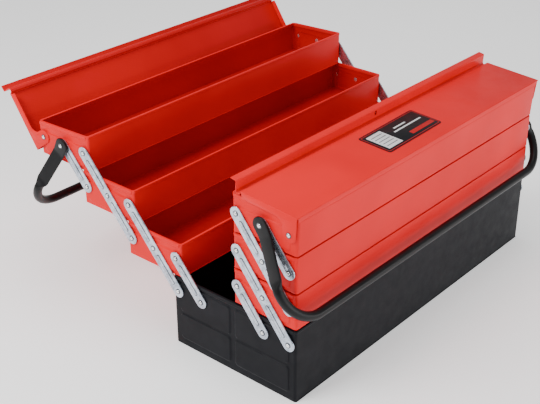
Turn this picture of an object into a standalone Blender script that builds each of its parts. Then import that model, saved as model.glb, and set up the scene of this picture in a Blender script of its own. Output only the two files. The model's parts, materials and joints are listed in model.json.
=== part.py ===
"""Seven-compartment cantilever toolbox.

A deep base carries three trays on each side. Riveted links fan the trays out sideways, and each
top tray has a hinged lid and a carrying handle. The front stack stands folded with its lid shut;
the rear stack is fanned out with its lid open.

Metres. X runs along the box, Y across it (front is -Y), Z up. The origin is the centre of the
base's underside. Each side is modelled in its own frame, in which +Y points outward from the
middle of the box. The front side's frame is the rear side's frame turned half round about Z.
"""

import math

import bmesh
import bpy
from mathutils import Matrix, Vector

# Sheet metal and fits
SHEET = 0.0010
GAP = 0.0003
HEM_THICKNESS = 0.0024
HEM_DEPTH = 0.0050
CORNER_RADIUS = 0.0025
CORNER_SEGMENTS = 2

# Base
LENGTH = 0.530
BASE_WIDTH = 0.199
BASE_HEIGHT = 0.1011
BASE_PIVOT_Z = 0.0805

# Linkage, seen from the end: three pivots across each tray at one spacing
PIVOT_INNER_Y = 0.0110
PIVOT_SPACING = 0.0393
CLOSED_RISE = 0.0488
LINK_PITCH = math.hypot(PIVOT_SPACING, CLOSED_RISE)
CLOSED_ANGLE = math.atan2(CLOSED_RISE, -PIVOT_SPACING)

# Trays, measured from their row of pivots
RIM_ABOVE_PIVOT = BASE_HEIGHT - BASE_PIVOT_Z
TRAY_BELOW_PIVOT = 0.0262
TRAY_INNER_FACE = 0.0085
TRAY_OUTER_FACE = 0.0094
OPEN_ANGLE = math.asin((RIM_ABOVE_PIVOT + TRAY_BELOW_PIVOT + GAP) / LINK_PITCH)

# Top trays: higher at the inner wall, with an outer wall that leans out under the lid's skirt
TOP_INNER_RIM = 0.0240
TOP_FLARE = 0.0026
TOP_RIM_RECESS = 0.0014

# Links
LINK_WIDTH = 0.0170
LINK_THICKNESS = 0.0017
LINK_X = LENGTH / 2 + GAP + LINK_THICKNESS / 2
RIB_WIDTH = 0.0056
RIB_HEIGHT = 0.0008
RIB_END_DISTANCE = 0.0125
ROUND_END_SEGMENTS = 8

# Rivets
SHANK_RADIUS = 0.00165
HOLE_RADIUS = SHANK_RADIUS + GAP
HEAD_RADIUS = 0.0036
HEAD_HEIGHT = 0.0013
TAIL_RADIUS = 0.0032
TAIL_HEIGHT = 0.0007
ROUND_STEPS = 10

# Lids, measured from the hinge axis with the lid shut
LID_SLOPE = math.radians(4.3)
LID_RISE = 0.0263
LID_OUTER = 0.0107
LID_PANEL = 0.0836
SKIRT_DEPTH = 0.0067
SKIRT_LEAN = 0.0004
GUTTER_RADIUS = 0.0031
GUTTER_DROP = 0.0014
LIP_WALL = 0.0109
LIP_FLANGE = 0.0088
LIP_FLANGE_RISE = 0.0007
END_FLANGE_DEPTH = 0.0093
EAR_RADIUS = 0.0095
EAR_FILLET = 0.0120
EAR_GAP = 0.00035
END_OVERHANG = 0.0013
LID_OPENING = math.radians(120.0)
SLOT_WIDTH = 0.0042
SLOT_HEIGHT = 0.0060

# Handles
HANDLE_REACH = 0.1224
HANDLE_RADIUS = 0.0060
HANDLE_BEND = 0.0460
HANDLE_TUBE_X = 0.2852
STRAP_HALF_WIDTH = 0.0098
STRAP_HALF_THICKNESS = 0.0015
STRAP_END_RADIUS = 0.0105
STRAP_PLATE_END = 0.0140
STRAP_END = 0.0600
BEND_START = HANDLE_REACH - HANDLE_BEND
ARM_STATIONS = 9
HANDLE_PLATE_X = LINK_X + LINK_THICKNESS / 2 + RIB_HEIGHT + GAP + STRAP_HALF_THICKNESS
FRONT_HANDLE_LEAN = math.radians(31.6)
REAR_HANDLE_LEAN = math.radians(29.5)
HANDLE_SIDES = 12

# Label on the front lid: centre along the box, centre along the panel, and size
LABEL_CENTRE_X = -0.0090
LABEL_CENTRE_ALONG = 0.0440
LABEL_SIZE = (0.1210, 0.0510)
LABEL_CORNER = 0.0035
LABEL_THICKNESS = 0.0003

OBJECT_NAME = "cantilever_toolbox"


def clear_scene():
    """Remove every object, so that the model starts from nothing."""
    for obj in list(bpy.data.objects):
        bpy.data.objects.remove(obj, do_unlink=True)


def new_collection(name):
    collection = bpy.data.collections.new(name)
    bpy.context.scene.collection.children.link(collection)
    return collection


def make_material(name, colour, roughness, metallic=0.0):
    material = bpy.data.materials.new(name)
    material.use_nodes = True
    shader = material.node_tree.nodes["Principled BSDF"]
    shader.inputs["Base Color"].default_value = (*colour, 1.0)
    shader.inputs["Roughness"].default_value = roughness
    shader.inputs["Metallic"].default_value = metallic
    return material


def place(name, mesh, parent, location=(0, 0, 0), rotation=(0, 0, 0), material=None):
    """Put one sub-part in the object's collection, with its origin at location."""
    obj = bpy.data.objects.new(name, mesh)
    PARTS.objects.link(obj)
    obj.parent = parent
    obj.location = location
    obj.rotation_euler = rotation
    obj.data.materials.clear()
    obj.data.materials.append(material)
    return obj


def helper(name, mesh, parent, location=(0, 0, 0), rotation=(0, 0, 0)):
    """A cutter, or a lump that a Boolean joins on: not a part of its own."""
    obj = bpy.data.objects.new(name, mesh)
    CUTTERS.objects.link(obj)
    obj.parent = parent
    obj.location = location
    obj.rotation_euler = rotation
    obj.hide_render = True
    obj.display_type = "WIRE"
    return obj


def boolean(obj, other, operation):
    modifier = obj.modifiers.new(f"{operation.lower()}_{other.name}", "BOOLEAN")
    modifier.object = other
    modifier.operation = operation
    modifier.solver = "EXACT"


def finish_mesh(bm, name):
    bmesh.ops.recalc_face_normals(bm, faces=bm.faces)
    mesh = bpy.data.meshes.new(name)
    bm.to_mesh(mesh)
    bm.free()
    return mesh


def shade_round(mesh, sharp_degrees=35):
    mesh.shade_smooth()
    mesh.set_sharp_from_angle(angle=math.radians(sharp_degrees))


# ---------------------------------------------------------------- shapes


def sheet_box(name, half_x, y_low, y_high, z_low, z_high, radius=CORNER_RADIUS):
    """A box with rounded vertical edges.

    y_high and z_high are pairs: y_high holds the outer face at the bottom and at the top, and
    z_high holds the top edge at the inner face and at the outer face.
    """
    bm = bmesh.new()
    bmesh.ops.create_cube(bm, size=2.0)
    for vert in bm.verts:
        outer = vert.co.y > 0
        top = vert.co.z > 0
        vert.co.x *= half_x
        vert.co.y = y_high[top] if outer else y_low
        vert.co.z = z_high[outer] if top else z_low
    upright = [e for e in bm.edges if abs(e.verts[0].co.z - e.verts[1].co.z) > abs(z_low) / 2]
    bmesh.ops.bevel(bm, geom=upright, offset=radius, segments=CORNER_SEGMENTS, profile=0.5,
                    affect="EDGES")
    return finish_mesh(bm, name)


def axis_cylinders(name, centres, radius, half_length):
    """Cylinders along X, one through each (y, z) centre."""
    bm = bmesh.new()
    for y, z in centres:
        turn = Matrix.Translation((0, y, z)) @ Matrix.Rotation(math.pi / 2, 4, "Y")
        bmesh.ops.create_cone(bm, cap_ends=True, segments=ROUND_STEPS, radius1=radius,
                              radius2=radius, depth=2 * half_length, matrix=turn)
    return finish_mesh(bm, name)


def box_mesh(name, low, high):
    bm = bmesh.new()
    size = Vector(high) - Vector(low)
    middle = (Vector(high) + Vector(low)) / 2
    bmesh.ops.create_cube(bm, size=1.0, matrix=Matrix.Translation(middle) @ Matrix.Diagonal((*size, 1)))
    return finish_mesh(bm, name)


def outline_plate(name, outline, thickness, holes=(), x_centre=0.0):
    """A flat plate in the YZ plane: a filled 2D curve, extruded along X."""
    curve = bpy.data.curves.new(name, "CURVE")
    curve.dimensions = "2D"
    curve.fill_mode = "BOTH"
    curve.extrude = thickness / 2
    for points in (outline, *holes):
        spline = curve.splines.new("POLY")
        spline.points.add(len(points) - 1)
        for point, (y, z) in zip(spline.points, points):
            point.co = (y, z, 0, 1)
        spline.use_cyclic_u = True
    guide = bpy.data.objects.new(name, curve)
    CUTTERS.objects.link(guide)
    bpy.context.view_layer.update()
    evaluated = guide.evaluated_get(bpy.context.evaluated_depsgraph_get())
    mesh = bpy.data.meshes.new_from_object(evaluated)
    bpy.data.objects.remove(guide)
    bpy.data.curves.remove(curve)
    # The curve's X, Y and Z become the plate's Y, Z and X.
    turn = Matrix(((0, 0, 1, x_centre), (1, 0, 0, 0), (0, 1, 0, 0), (0, 0, 0, 1)))
    bm = bmesh.new()
    bm.from_mesh(mesh)
    bmesh.ops.transform(bm, matrix=turn, verts=bm.verts)
    bmesh.ops.remove_doubles(bm, verts=bm.verts, dist=1e-6)
    bpy.data.meshes.remove(mesh)
    return finish_mesh(bm, name)


def arc(centre, radius, start_degrees, end_degrees, segments):
    """Points along an arc, both ends included."""
    points = []
    for i in range(segments + 1):
        angle = math.radians(start_degrees + (end_degrees - start_degrees) * i / segments)
        points.append((centre[0] + radius * math.cos(angle), centre[1] + radius * math.sin(angle)))
    return points


def stadium(start, end, radius, segments=ROUND_END_SEGMENTS):
    """The outline of a bar with round ends, lying along Y from start to end."""
    right = arc((end, 0), radius, -90, 90, segments)
    left = arc((start, 0), radius, 90, 270, segments)
    return right + left


def circle(centre, radius, segments=ROUND_STEPS):
    """A closed ring of points, no two of them side by side at one height."""
    first = 90 / segments
    return arc(centre, radius, first, first + 360, segments)[:-1]


def offset_strip(points, thickness):
    """The closed outline of a bent sheet whose one face runs through points.

    The other face lies to the left of the direction of travel.
    """
    path = [Vector(p) for p in points]
    directions = [(b - a).normalized() for a, b in zip(path, path[1:])]
    normals = [Vector((-d.y, d.x)) for d in directions]
    other = [path[0] + normals[0] * thickness]
    for point, before, after in zip(path[1:-1], normals, normals[1:]):
        mitre = (before + after).normalized()
        other.append(point + mitre * thickness / mitre.dot(before))
    other.append(path[-1] + normals[-1] * thickness)
    return [tuple(p) for p in path + other[::-1]]


def turned(name, profile, steps=ROUND_STEPS):
    """A solid turned about Z from a profile of (radius, z), top to bottom, by a Screw modifier."""
    mesh = bpy.data.meshes.new(name)
    vertices = [(radius, 0, z) for radius, z in profile]
    edges = [(i, i + 1) for i in range(len(profile) - 1)]
    mesh.from_pydata(vertices, edges, [])
    obj = bpy.data.objects.new(name, mesh)
    CUTTERS.objects.link(obj)
    screw = obj.modifiers.new("turn", "SCREW")
    screw.steps = steps
    screw.render_steps = steps
    screw.use_merge_vertices = True
    screw.merge_threshold = 0.00001
    bpy.context.view_layer.update()
    evaluated = obj.evaluated_get(bpy.context.evaluated_depsgraph_get())
    solid = bpy.data.meshes.new_from_object(evaluated)
    bpy.data.objects.remove(obj)
    bpy.data.meshes.remove(mesh)
    bm = bmesh.new()
    bm.from_mesh(solid)
    bmesh.ops.remove_doubles(bm, verts=bm.verts, dist=1e-6)
    bpy.data.meshes.remove(solid)
    return finish_mesh(bm, name)


# ---------------------------------------------------------------- rivets


def rivet_profile(head_seat):
    """A rivet along Z: its head sits on head_seat and its tail lies inside the tray's wall."""
    tail_seat = LENGTH / 2 - SHEET - GAP
    head = [(0.0, head_seat + HEAD_HEIGHT)]
    for fraction in (0.55, 0.85):
        height = HEAD_HEIGHT * math.sqrt(1 - fraction ** 2)
        head.append((HEAD_RADIUS * fraction, head_seat + height))
    head.append((HEAD_RADIUS, head_seat))
    shank = [(SHANK_RADIUS, head_seat), (SHANK_RADIUS, tail_seat)]
    tail = [(TAIL_RADIUS, tail_seat), (TAIL_RADIUS, tail_seat - TAIL_HEIGHT),
            (0.0, tail_seat - TAIL_HEIGHT)]
    return head + shank + tail


LINK_HEAD_SEAT = LENGTH / 2 + GAP + LINK_THICKNESS + GAP
HANDLE_HEAD_SEAT = HANDLE_PLATE_X + STRAP_HALF_THICKNESS + GAP


def add_rivet(name, side, end, pivot, head_seat):
    """A loose rivet through a tray's end wall, its axis along X."""
    mesh = turned(name, rivet_profile(head_seat))
    shade_round(mesh)
    turn = (0, end * math.pi / 2, 0)
    place(name, mesh, side, (0, *pivot), turn, MATERIALS["zinc"])


def join_stud(obj, side_sign, end, centre, head_seat):
    """A rivet that is staked into obj's own wall, as one piece with it."""
    profile = rivet_profile(head_seat)
    stud = turned(f"{obj.name}_stud", profile)
    turn = (0, end * math.pi / 2, 0)
    lump = helper(f"{obj.name}_stud", stud, obj, (0, side_sign * centre[0], centre[1]), turn)
    boolean(obj, lump, "UNION")


# ---------------------------------------------------------------- base and trays


def hollow_out(obj, half_x, y_low, y_high, z_low, z_high, floor):
    """Cut the inside of a tray: thin walls below, and a thicker folded hem at the rim."""
    top = (z_high[0] + 0.001, z_high[1] + 0.001)
    hem_low = min(z_high) - HEM_DEPTH
    slope = (y_high[1] - y_high[0]) / (z_high[1] - floor)
    y_at_hem = y_high[0] + slope * (hem_low - floor)
    y_at_top = y_high[0] + slope * (top[1] - floor)
    below = sheet_box(f"{obj.name}_inside", half_x - SHEET, y_low + SHEET,
                      (y_high[0] - SHEET, y_at_hem - SHEET), floor + SHEET, (hem_low, hem_low),
                      CORNER_RADIUS - SHEET)
    mouth = sheet_box(f"{obj.name}_mouth", half_x - HEM_THICKNESS, y_low + HEM_THICKNESS,
                      (y_at_hem - HEM_THICKNESS, y_at_top - HEM_THICKNESS), hem_low - 0.001, top,
                      CORNER_RADIUS - SHEET)
    for mesh in (below, mouth):
        boolean(obj, helper(mesh.name, mesh, obj), "DIFFERENCE")


def build_base():
    half = BASE_WIDTH / 2
    size = (LENGTH / 2, -half, (half, half), 0.0, (BASE_HEIGHT, BASE_HEIGHT))
    mesh = sheet_box("base_box", *size)
    base = place("base_box", mesh, None, material=MATERIALS["black_paint"])
    hollow_out(base, *size, floor=0.0)
    for side_sign in (-1, 1):
        for index in (1, 2):
            centre = (PIVOT_INNER_Y + index * PIVOT_SPACING, BASE_PIVOT_Z)
            for end in (-1, 1):
                join_stud(base, side_sign, end, centre, LINK_HEAD_SEAT)


def build_tray(side, name, origin_index, pivots, is_top):
    """One tray. Its origin is on its pivot number origin_index (0 is the inner pivot)."""
    shift = -origin_index * PIVOT_SPACING
    inner = shift - TRAY_INNER_FACE
    outer = shift + 2 * PIVOT_SPACING + TRAY_OUTER_FACE
    outer_top = outer + (TOP_FLARE if is_top else 0.0)
    inner_rim = TOP_INNER_RIM if is_top else RIM_ABOVE_PIVOT
    floor = -TRAY_BELOW_PIVOT
    size = (LENGTH / 2, inner, (outer, outer_top), floor, (inner_rim, RIM_ABOVE_PIVOT))
    mesh = sheet_box(name, *size)
    tray = place(name, mesh, side, (0, *pivots[origin_index]), material=MATERIALS["red_paint"])
    hollow_out(tray, *size, floor=floor)
    centres = [(shift + i * PIVOT_SPACING, 0.0) for i in range(3)]
    open_holes = centres[:2] if is_top else centres
    holes = axis_cylinders(f"{name}_holes", open_holes, HOLE_RADIUS, LENGTH)
    boolean(tray, helper(holes.name, holes, tray), "DIFFERENCE")
    if is_top:
        skirt_bottom = hinge_point(0.0, 0.0)[1] - SKIRT_DEPTH
        recess = box_mesh(f"{name}_recess", (-LENGTH, outer_top - TOP_RIM_RECESS, skirt_bottom - GAP),
                          (LENGTH, outer_top + 0.01, RIM_ABOVE_PIVOT + 0.01))
        boolean(tray, helper(recess.name, recess, tray), "DIFFERENCE")
        for end in (-1, 1):
            join_stud(tray, 1, end, centres[2], LID_HEAD_SEAT)


# ---------------------------------------------------------------- links


def link_mesh(name, holes, ribs):
    """A zinc bar along Y with round ends, pivot holes and raised ribs. Its faces look along X."""
    outline = stadium(holes[0], holes[-1], LINK_WIDTH / 2)
    hole_outlines = [circle((y, 0), HOLE_RADIUS) for y in holes]
    bar = outline_plate(name, outline, LINK_THICKNESS, hole_outlines)
    raised = []
    for low, high in ribs:
        outline = stadium(low + RIB_END_DISTANCE, high - RIB_END_DISTANCE, RIB_WIDTH / 2, 4)
        raised.append(outline)
    return bar, raised


def add_link(name, side, end, pivot, angle, holes):
    """A link whose origin is on the pivot that its body turns on."""
    ribs = list(zip(holes, holes[1:]))
    bar, raised = link_mesh(name, holes, ribs)
    link = place(name, bar, side, (end * LINK_X, *pivot), (angle, 0, 0), MATERIALS["zinc"])
    rib_depth = RIB_HEIGHT + LINK_THICKNESS / 2
    for number, outline in enumerate(raised):
        rib = outline_plate(f"{name}_rib_{number}", outline, rib_depth,
                            x_centre=end * (LINK_THICKNESS + RIB_HEIGHT - rib_depth / 2
                                            - LINK_THICKNESS / 2))
        boolean(link, helper(rib.name, rib, link), "UNION")


# ---------------------------------------------------------------- lids

EAR_INNER_X = LENGTH / 2 + EAR_GAP
LID_HALF_LENGTH = EAR_INNER_X + SHEET + END_OVERHANG
EAR_AT_HINGE = EAR_INNER_X + END_OVERHANG * EAR_RADIUS / (EAR_RADIUS + LID_RISE)
LID_HEAD_SEAT = EAR_AT_HINGE + SHEET + GAP + 0.00015


def hinge_point(along, above):
    """A point of the shut lid from its hinge: along the panel from its outer edge, and above it."""
    inward = Vector((-math.cos(LID_SLOPE), math.sin(LID_SLOPE)))
    normal = Vector((math.sin(LID_SLOPE), math.cos(LID_SLOPE)))
    corner = normal * LID_RISE - inward * LID_OUTER
    return corner + inward * along + normal * above


def lid_section():
    """The lid's outer face in section, from the skirt over the panel to the tip of the lip."""
    corner = hinge_point(0.0, 0.0)
    skirt = (corner.x - SKIRT_LEAN, corner.y - SKIRT_DEPTH)
    points = [skirt, hinge_point(0.0, -0.0009), hinge_point(0.0009, 0.0)]
    points.append(hinge_point(LID_PANEL - 0.0007, 0.0))
    centre = LID_PANEL + GUTTER_RADIUS
    for degrees in range(180, 361, 30):
        turn = math.radians(degrees)
        points.append(hinge_point(centre + GUTTER_RADIUS * math.cos(turn),
                                  -GUTTER_DROP + GUTTER_RADIUS * math.sin(turn)))
    wall = LID_PANEL + 2 * GUTTER_RADIUS
    points.append(hinge_point(wall, LIP_WALL - 0.0008))
    points.append(hinge_point(wall + 0.0008, LIP_WALL))
    points.append(hinge_point(wall + LIP_FLANGE, LIP_WALL + LIP_FLANGE_RISE))
    return [tuple(p) for p in points]


def lid_end_outline():
    """The end flange and its ear, which carries the hinge hole."""
    top_outer = hinge_point(0.0009, -0.0002)
    top_inner = hinge_point(LID_PANEL - 0.0010, -0.0002)
    low_inner = hinge_point(LID_PANEL - 0.0010, -END_FLANGE_DEPTH)
    points = [tuple(top_outer), tuple(top_inner), tuple(low_inner)]
    # The fillet touches the flange's lower edge and the ear's inner edge.
    slope = math.degrees(LID_SLOPE)
    fillet_y = -EAR_RADIUS - EAR_FILLET
    along = (LID_OUTER - fillet_y) / math.cos(LID_SLOPE)
    edge = hinge_point(along, -END_FLANGE_DEPTH)
    centre = (fillet_y, edge.y - EAR_FILLET / math.cos(LID_SLOPE))
    points += arc(centre, EAR_FILLET, 90 - slope, 0, 4)
    points += arc((0.0, 0.0), EAR_RADIUS, 180, 360, 10)
    return points


def slant_end(mesh, end):
    """Lean an end flange out towards its top, where it meets the longer panel."""
    normal = Vector((0, math.sin(LID_SLOPE), math.cos(LID_SLOPE)))
    for vert in mesh.vertices:
        vert.co.x += end * END_OVERHANG * (normal.dot(vert.co) + EAR_RADIUS) / (EAR_RADIUS + LID_RISE)


def build_lid(side, name, hinge, turn):
    outline = offset_strip(lid_section(), SHEET)
    mesh = outline_plate(name, outline, 2 * LID_HALF_LENGTH)
    lid = place(name, mesh, side, (0, *hinge), (turn, 0, 0), MATERIALS["red_paint"])
    # The skirt stops short of the ears, which leaves an open seam at each outer corner.
    skirt_top = hinge_point(0.0, 0.0)
    for end in (-1, 1):
        x_pair = sorted((end * (EAR_INNER_X - 0.0002), end * (LID_HALF_LENGTH + 0.01)))
        notch = box_mesh(f"{name}_corner_notch", (x_pair[0], EAR_RADIUS + 0.0004, -0.001),
                         (x_pair[1], skirt_top.x + 0.01, skirt_top.y - 0.0016))
        boolean(lid, helper(notch.name, notch, lid), "DIFFERENCE")
        hole = circle((0.0, 0.0), HOLE_RADIUS)
        plate = outline_plate(f"{name}_end", lid_end_outline(), SHEET, [hole],
                              end * (EAR_INNER_X + SHEET / 2))
        slant_end(plate, end)
        boolean(lid, helper(plate.name, plate, lid), "UNION")
    wall = LID_PANEL + 2 * GUTTER_RADIUS
    middle = hinge_point(wall, LIP_WALL * 0.52)
    slot = box_mesh(f"{name}_slot", (-SLOT_WIDTH / 2, middle.x - 0.004, middle.y - SLOT_HEIGHT / 2),
                    (SLOT_WIDTH / 2, middle.x + 0.003, middle.y + SLOT_HEIGHT / 2))
    boolean(lid, helper(slot.name, slot, lid), "DIFFERENCE")
    return lid


def build_label(lid):
    """A thin label on the panel, with rounded corners."""
    half_x, half_y = LABEL_SIZE[0] / 2, LABEL_SIZE[1] / 2
    outline = []
    for sign_x, sign_y, start in ((1, 1, 0), (-1, 1, 90), (-1, -1, 180), (1, -1, 270)):
        centre = (sign_x * (half_x - LABEL_CORNER), sign_y * (half_y - LABEL_CORNER))
        outline += arc(centre, LABEL_CORNER, start, start + 90, 3)
    mesh = outline_plate("lid_label", outline, LABEL_THICKNESS)
    # The plate's Y, Z and X become the label's X, its direction up the panel, and its normal.
    mesh.transform(Matrix(((0, 1, 0, 0), (0, 0, 1, 0), (1, 0, 0, 0), (0, 0, 0, 1))))
    spot = hinge_point(LABEL_CENTRE_ALONG, GAP + LABEL_THICKNESS / 2)
    # The front side's frame is turned half round, so its X runs the other way.
    place("lid_label", mesh, lid, (-LABEL_CENTRE_X, *spot), (-LID_SLOPE, 0, 0),
          MATERIALS["label"])


# ---------------------------------------------------------------- handles


def blend(value, low, high):
    """0 below low, 1 above high, and smooth in between."""
    t = min(max((value - low) / (high - low), 0.0), 1.0)
    return t * t * (3 - 2 * t)


def handle_stations():
    """Half of the handle as sections: centre, outward direction, half width, half thickness."""
    down = []
    for degrees in (20, 45, 70, 90):
        turn = math.radians(degrees)
        down.append((-STRAP_END_RADIUS * math.cos(turn), STRAP_END_RADIUS * math.sin(turn)))
    arm = BEND_START - STRAP_PLATE_END
    for station in range(ARM_STATIONS + 1):
        down.append((STRAP_PLATE_END + arm * station / ARM_STATIONS, None))
    stations = []
    for depth, width in down:
        splay = blend(depth, STRAP_PLATE_END, BEND_START)
        swell = blend(depth, STRAP_END, BEND_START)
        thickness = STRAP_HALF_THICKNESS + swell * (HANDLE_RADIUS - STRAP_HALF_THICKNESS)
        if width is None:
            width = STRAP_HALF_WIDTH + swell * (HANDLE_RADIUS - STRAP_HALF_WIDTH)
        x = HANDLE_PLATE_X + splay * (HANDLE_TUBE_X - HANDLE_PLATE_X)
        stations.append((Vector((x, 0, -depth)), Vector((1, 0, 0)), width, thickness))
    corner = Vector((HANDLE_TUBE_X - HANDLE_BEND, 0, -BEND_START))
    for degrees in (18, 36, 54, 72, 90):
        turn = math.radians(degrees)
        out = Vector((math.cos(turn), 0, -math.sin(turn)))
        stations.append((corner + out * HANDLE_BEND, out, HANDLE_RADIUS, HANDLE_RADIUS))
    return stations


def section_ring(station, mirror):
    """The points of one section: a bar with round edges, or a circle when its sides are equal."""
    centre, out, width, thickness = station
    ring = []
    for i in range(HANDLE_SIDES):
        turn = 2 * math.pi * (i + 0.5) / HANDLE_SIDES
        reach = thickness * math.cos(turn) / math.cos(math.pi / HANDLE_SIDES)
        across = thickness * math.sin(turn) + math.copysign(max(width - thickness, 0), math.sin(turn))
        point = centre + out * reach + Vector((0, across, 0))
        ring.append(Vector((mirror * point.x, point.y, point.z)))
    return ring


def handle_mesh(name):
    """The bail lofted from one flattened end, round the grip, to the other."""
    stations = handle_stations()
    rings = [section_ring(s, -1) for s in stations]
    rings += [section_ring(s, 1) for s in reversed(stations)]
    bm = bmesh.new()
    loops = [[bm.verts.new(p) for p in ring] for ring in rings]
    for one, two in zip(loops, loops[1:]):
        for i in range(HANDLE_SIDES):
            j = (i + 1) % HANDLE_SIDES
            bm.faces.new((one[i], one[j], two[j], two[i]))
    bm.faces.new(loops[0])
    bm.faces.new(loops[-1])
    return finish_mesh(bm, name)


def build_handle(side, name, pivot, lean):
    mesh = handle_mesh(name)
    shade_round(mesh)
    handle = place(name, mesh, side, (0, *pivot), (lean, 0, 0), MATERIALS["black_coat"])
    holes = axis_cylinders(f"{name}_holes", [(0.0, 0.0)], HOLE_RADIUS, LENGTH)
    boolean(handle, helper(holes.name, holes, handle), "DIFFERENCE")


# ---------------------------------------------------------------- one side


def build_side(name, world_sign, fold_angle, lid_turn, handle_lean):
    """Three trays on their links, with the lid, the handle and the rivets of one side."""
    side = bpy.data.objects.new(f"{name}_side", None)
    PARTS.objects.link(side)
    side.rotation_euler.z = 0.0 if world_sign > 0 else math.pi

    spacing = Vector((PIVOT_SPACING, 0.0))
    stage = Vector((math.cos(fold_angle), math.sin(fold_angle))) * LINK_PITCH
    base_inner = Vector((PIVOT_INNER_Y, BASE_PIVOT_Z))
    rows = []
    for level in range(4):
        first = base_inner + level * (spacing + stage)
        rows.append([first, first + spacing, first + 2 * spacing])
    base, lower, middle, upper = rows

    build_tray(side, f"{name}_lower_tray", 1, lower, False)
    build_tray(side, f"{name}_middle_tray", 0, middle, False)
    build_tray(side, f"{name}_upper_tray", 0, upper, True)
    lid = build_lid(side, f"{name}_lid", upper[2], lid_turn)

    build_handle(side, f"{name}_handle", upper[1], handle_lean)

    one, two = LINK_PITCH, 2 * LINK_PITCH
    for end_name, world_end in (("left", -1), ("right", 1)):
        end = world_end * world_sign
        prefix = f"{name}_{end_name}"
        add_link(f"{prefix}_long_lower_link", side, end, base[2], fold_angle, (0.0, one, two))
        add_link(f"{prefix}_short_lower_link", side, end, base[1], fold_angle, (0.0, one))
        add_link(f"{prefix}_long_upper_link", side, end, middle[1], fold_angle, (-one, 0.0, one))
        add_link(f"{prefix}_short_upper_link", side, end, middle[2], fold_angle, (0.0, one))
        for tray_name, row in (("lower", lower), ("middle", middle)):
            for place_name, pivot in zip(("inner", "mid", "outer"), row):
                add_rivet(f"{prefix}_{tray_name}_{place_name}_rivet", side, end, pivot,
                          LINK_HEAD_SEAT)
        add_rivet(f"{prefix}_upper_inner_rivet", side, end, upper[0], LINK_HEAD_SEAT)
        add_rivet(f"{prefix}_handle_rivet", side, end, upper[1], HANDLE_HEAD_SEAT)
    return lid


clear_scene()
PARTS = new_collection(OBJECT_NAME)
CUTTERS = new_collection("cutters")
MATERIALS = {
    "red_paint": make_material("red_paint", (0.62, 0.035, 0.022), 0.35),
    "black_paint": make_material("black_paint", (0.030, 0.030, 0.034), 0.50),
    "black_coat": make_material("black_coat", (0.022, 0.022, 0.024), 0.38),
    "zinc": make_material("zinc", (0.72, 0.75, 0.79), 0.32, 0.9),
    "label": make_material("label", (0.015, 0.015, 0.017), 0.40),
}
build_base()
front_lid = build_side("front", -1, CLOSED_ANGLE, 0.0, FRONT_HANDLE_LEAN)
build_side("rear", 1, OPEN_ANGLE, -LID_OPENING, REAR_HANDLE_LEAN)
build_label(front_lid)
bpy.context.view_layer.update()
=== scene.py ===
"""Looks for the cantilever toolbox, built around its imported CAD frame.

Every solid of the frame is replaced by finer meshes of nearly the same shape on the same body.
Their rims, end walls, links and paint are modelled more finely. Metres; X runs along the box, the
front side is -Y and Z is up. Each side is modelled in its own frame, in which +Y points outward;
the front side's frame is the rear side's turned half round about Z.
"""

import json
import math

import bmesh
import bpy
from mathutils import Matrix, Vector


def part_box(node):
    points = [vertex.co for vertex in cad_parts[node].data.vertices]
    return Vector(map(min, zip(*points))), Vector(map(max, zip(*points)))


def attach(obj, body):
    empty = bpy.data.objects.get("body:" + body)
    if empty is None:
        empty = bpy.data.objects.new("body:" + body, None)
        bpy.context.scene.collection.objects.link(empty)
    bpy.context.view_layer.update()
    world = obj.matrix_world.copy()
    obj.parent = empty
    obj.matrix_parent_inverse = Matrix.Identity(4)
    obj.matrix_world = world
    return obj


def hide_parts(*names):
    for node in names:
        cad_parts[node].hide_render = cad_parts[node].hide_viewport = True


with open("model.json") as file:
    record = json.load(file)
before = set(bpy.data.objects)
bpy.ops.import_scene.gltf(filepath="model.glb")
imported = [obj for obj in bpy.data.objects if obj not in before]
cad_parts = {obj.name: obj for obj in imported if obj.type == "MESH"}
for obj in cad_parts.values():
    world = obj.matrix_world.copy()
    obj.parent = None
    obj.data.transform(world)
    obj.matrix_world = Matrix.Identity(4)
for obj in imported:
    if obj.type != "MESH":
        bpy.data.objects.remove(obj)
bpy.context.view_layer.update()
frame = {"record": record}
JOINTS = {joint["name"]: joint for joint in frame["record"]["behaviour"]["joints"]}
END_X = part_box("front_lower_tray")[1][0]

# Area lights: name, place, aim, size and watts
LIGHTS = (("key", (-1.15, 0.40, 1.15), (-0.2, 0.10, 0.12), (0.7, 0.5), 19),
          ("front_fill", (0.40, -1.70, 0.40), (0.05, -0.10, 0.16), (2.0, 0.4), 16),
          ("top", (0.1, 0.1, 2.6), (0, 0.05, 0.1), (1.8, 1.8), 24))

# Camera, as an orbit about a point above the base's centre
CAMERA_AZIMUTH = math.radians(-49.32)
CAMERA_ELEVATION = math.radians(27.83)
CAMERA_ROLL = math.radians(-0.16)
CAMERA_DISTANCE = 1.4753
CAMERA_AIM = (0.0, 0.0, 0.1)
CAMERA_AIM_RIGHT = 0.1265
CAMERA_AIM_UP = -0.0270
CAMERA_LENS_MM = 72.15

# Sheet metal
SHEET = 0.0010
GAP = 0.0003
HEM_WIDTH = 0.0034
HEM_DEPTH = 0.0052
HEM_CROWN = 0.0005
RIM_BEAD = 0.0008
BEAD_HALF_HEIGHT = 0.0019
BEAD_ROWS = 8
VERTICAL_RADIUS = 0.0032
FLOOR_RADIUS = 0.0004
RELIEF = 0.0012
RELIEF_SLOPE = 0.0012
HEM_SLOPE = RELIEF_SLOPE * 0.6
HEM_FOOT = 0.0004
HEM_STEP = 0.0001
HEM_CLEARANCE = 0.0012
BEAD_CLEARANCE = 0.0002
FLOOR_BEND_SHARE = 0.3
PANEL_CORNER = 0.0050
ROW_STEP = 0.0011
ROWS_OFF = 0.0030
LONG_COLUMNS = 12
CORNER_STEPS = 5
CORNER_MIN_RADIUS = 0.0008
TOP_FLARE = 0.0026
RECESS_RAMP = 0.0006

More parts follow.
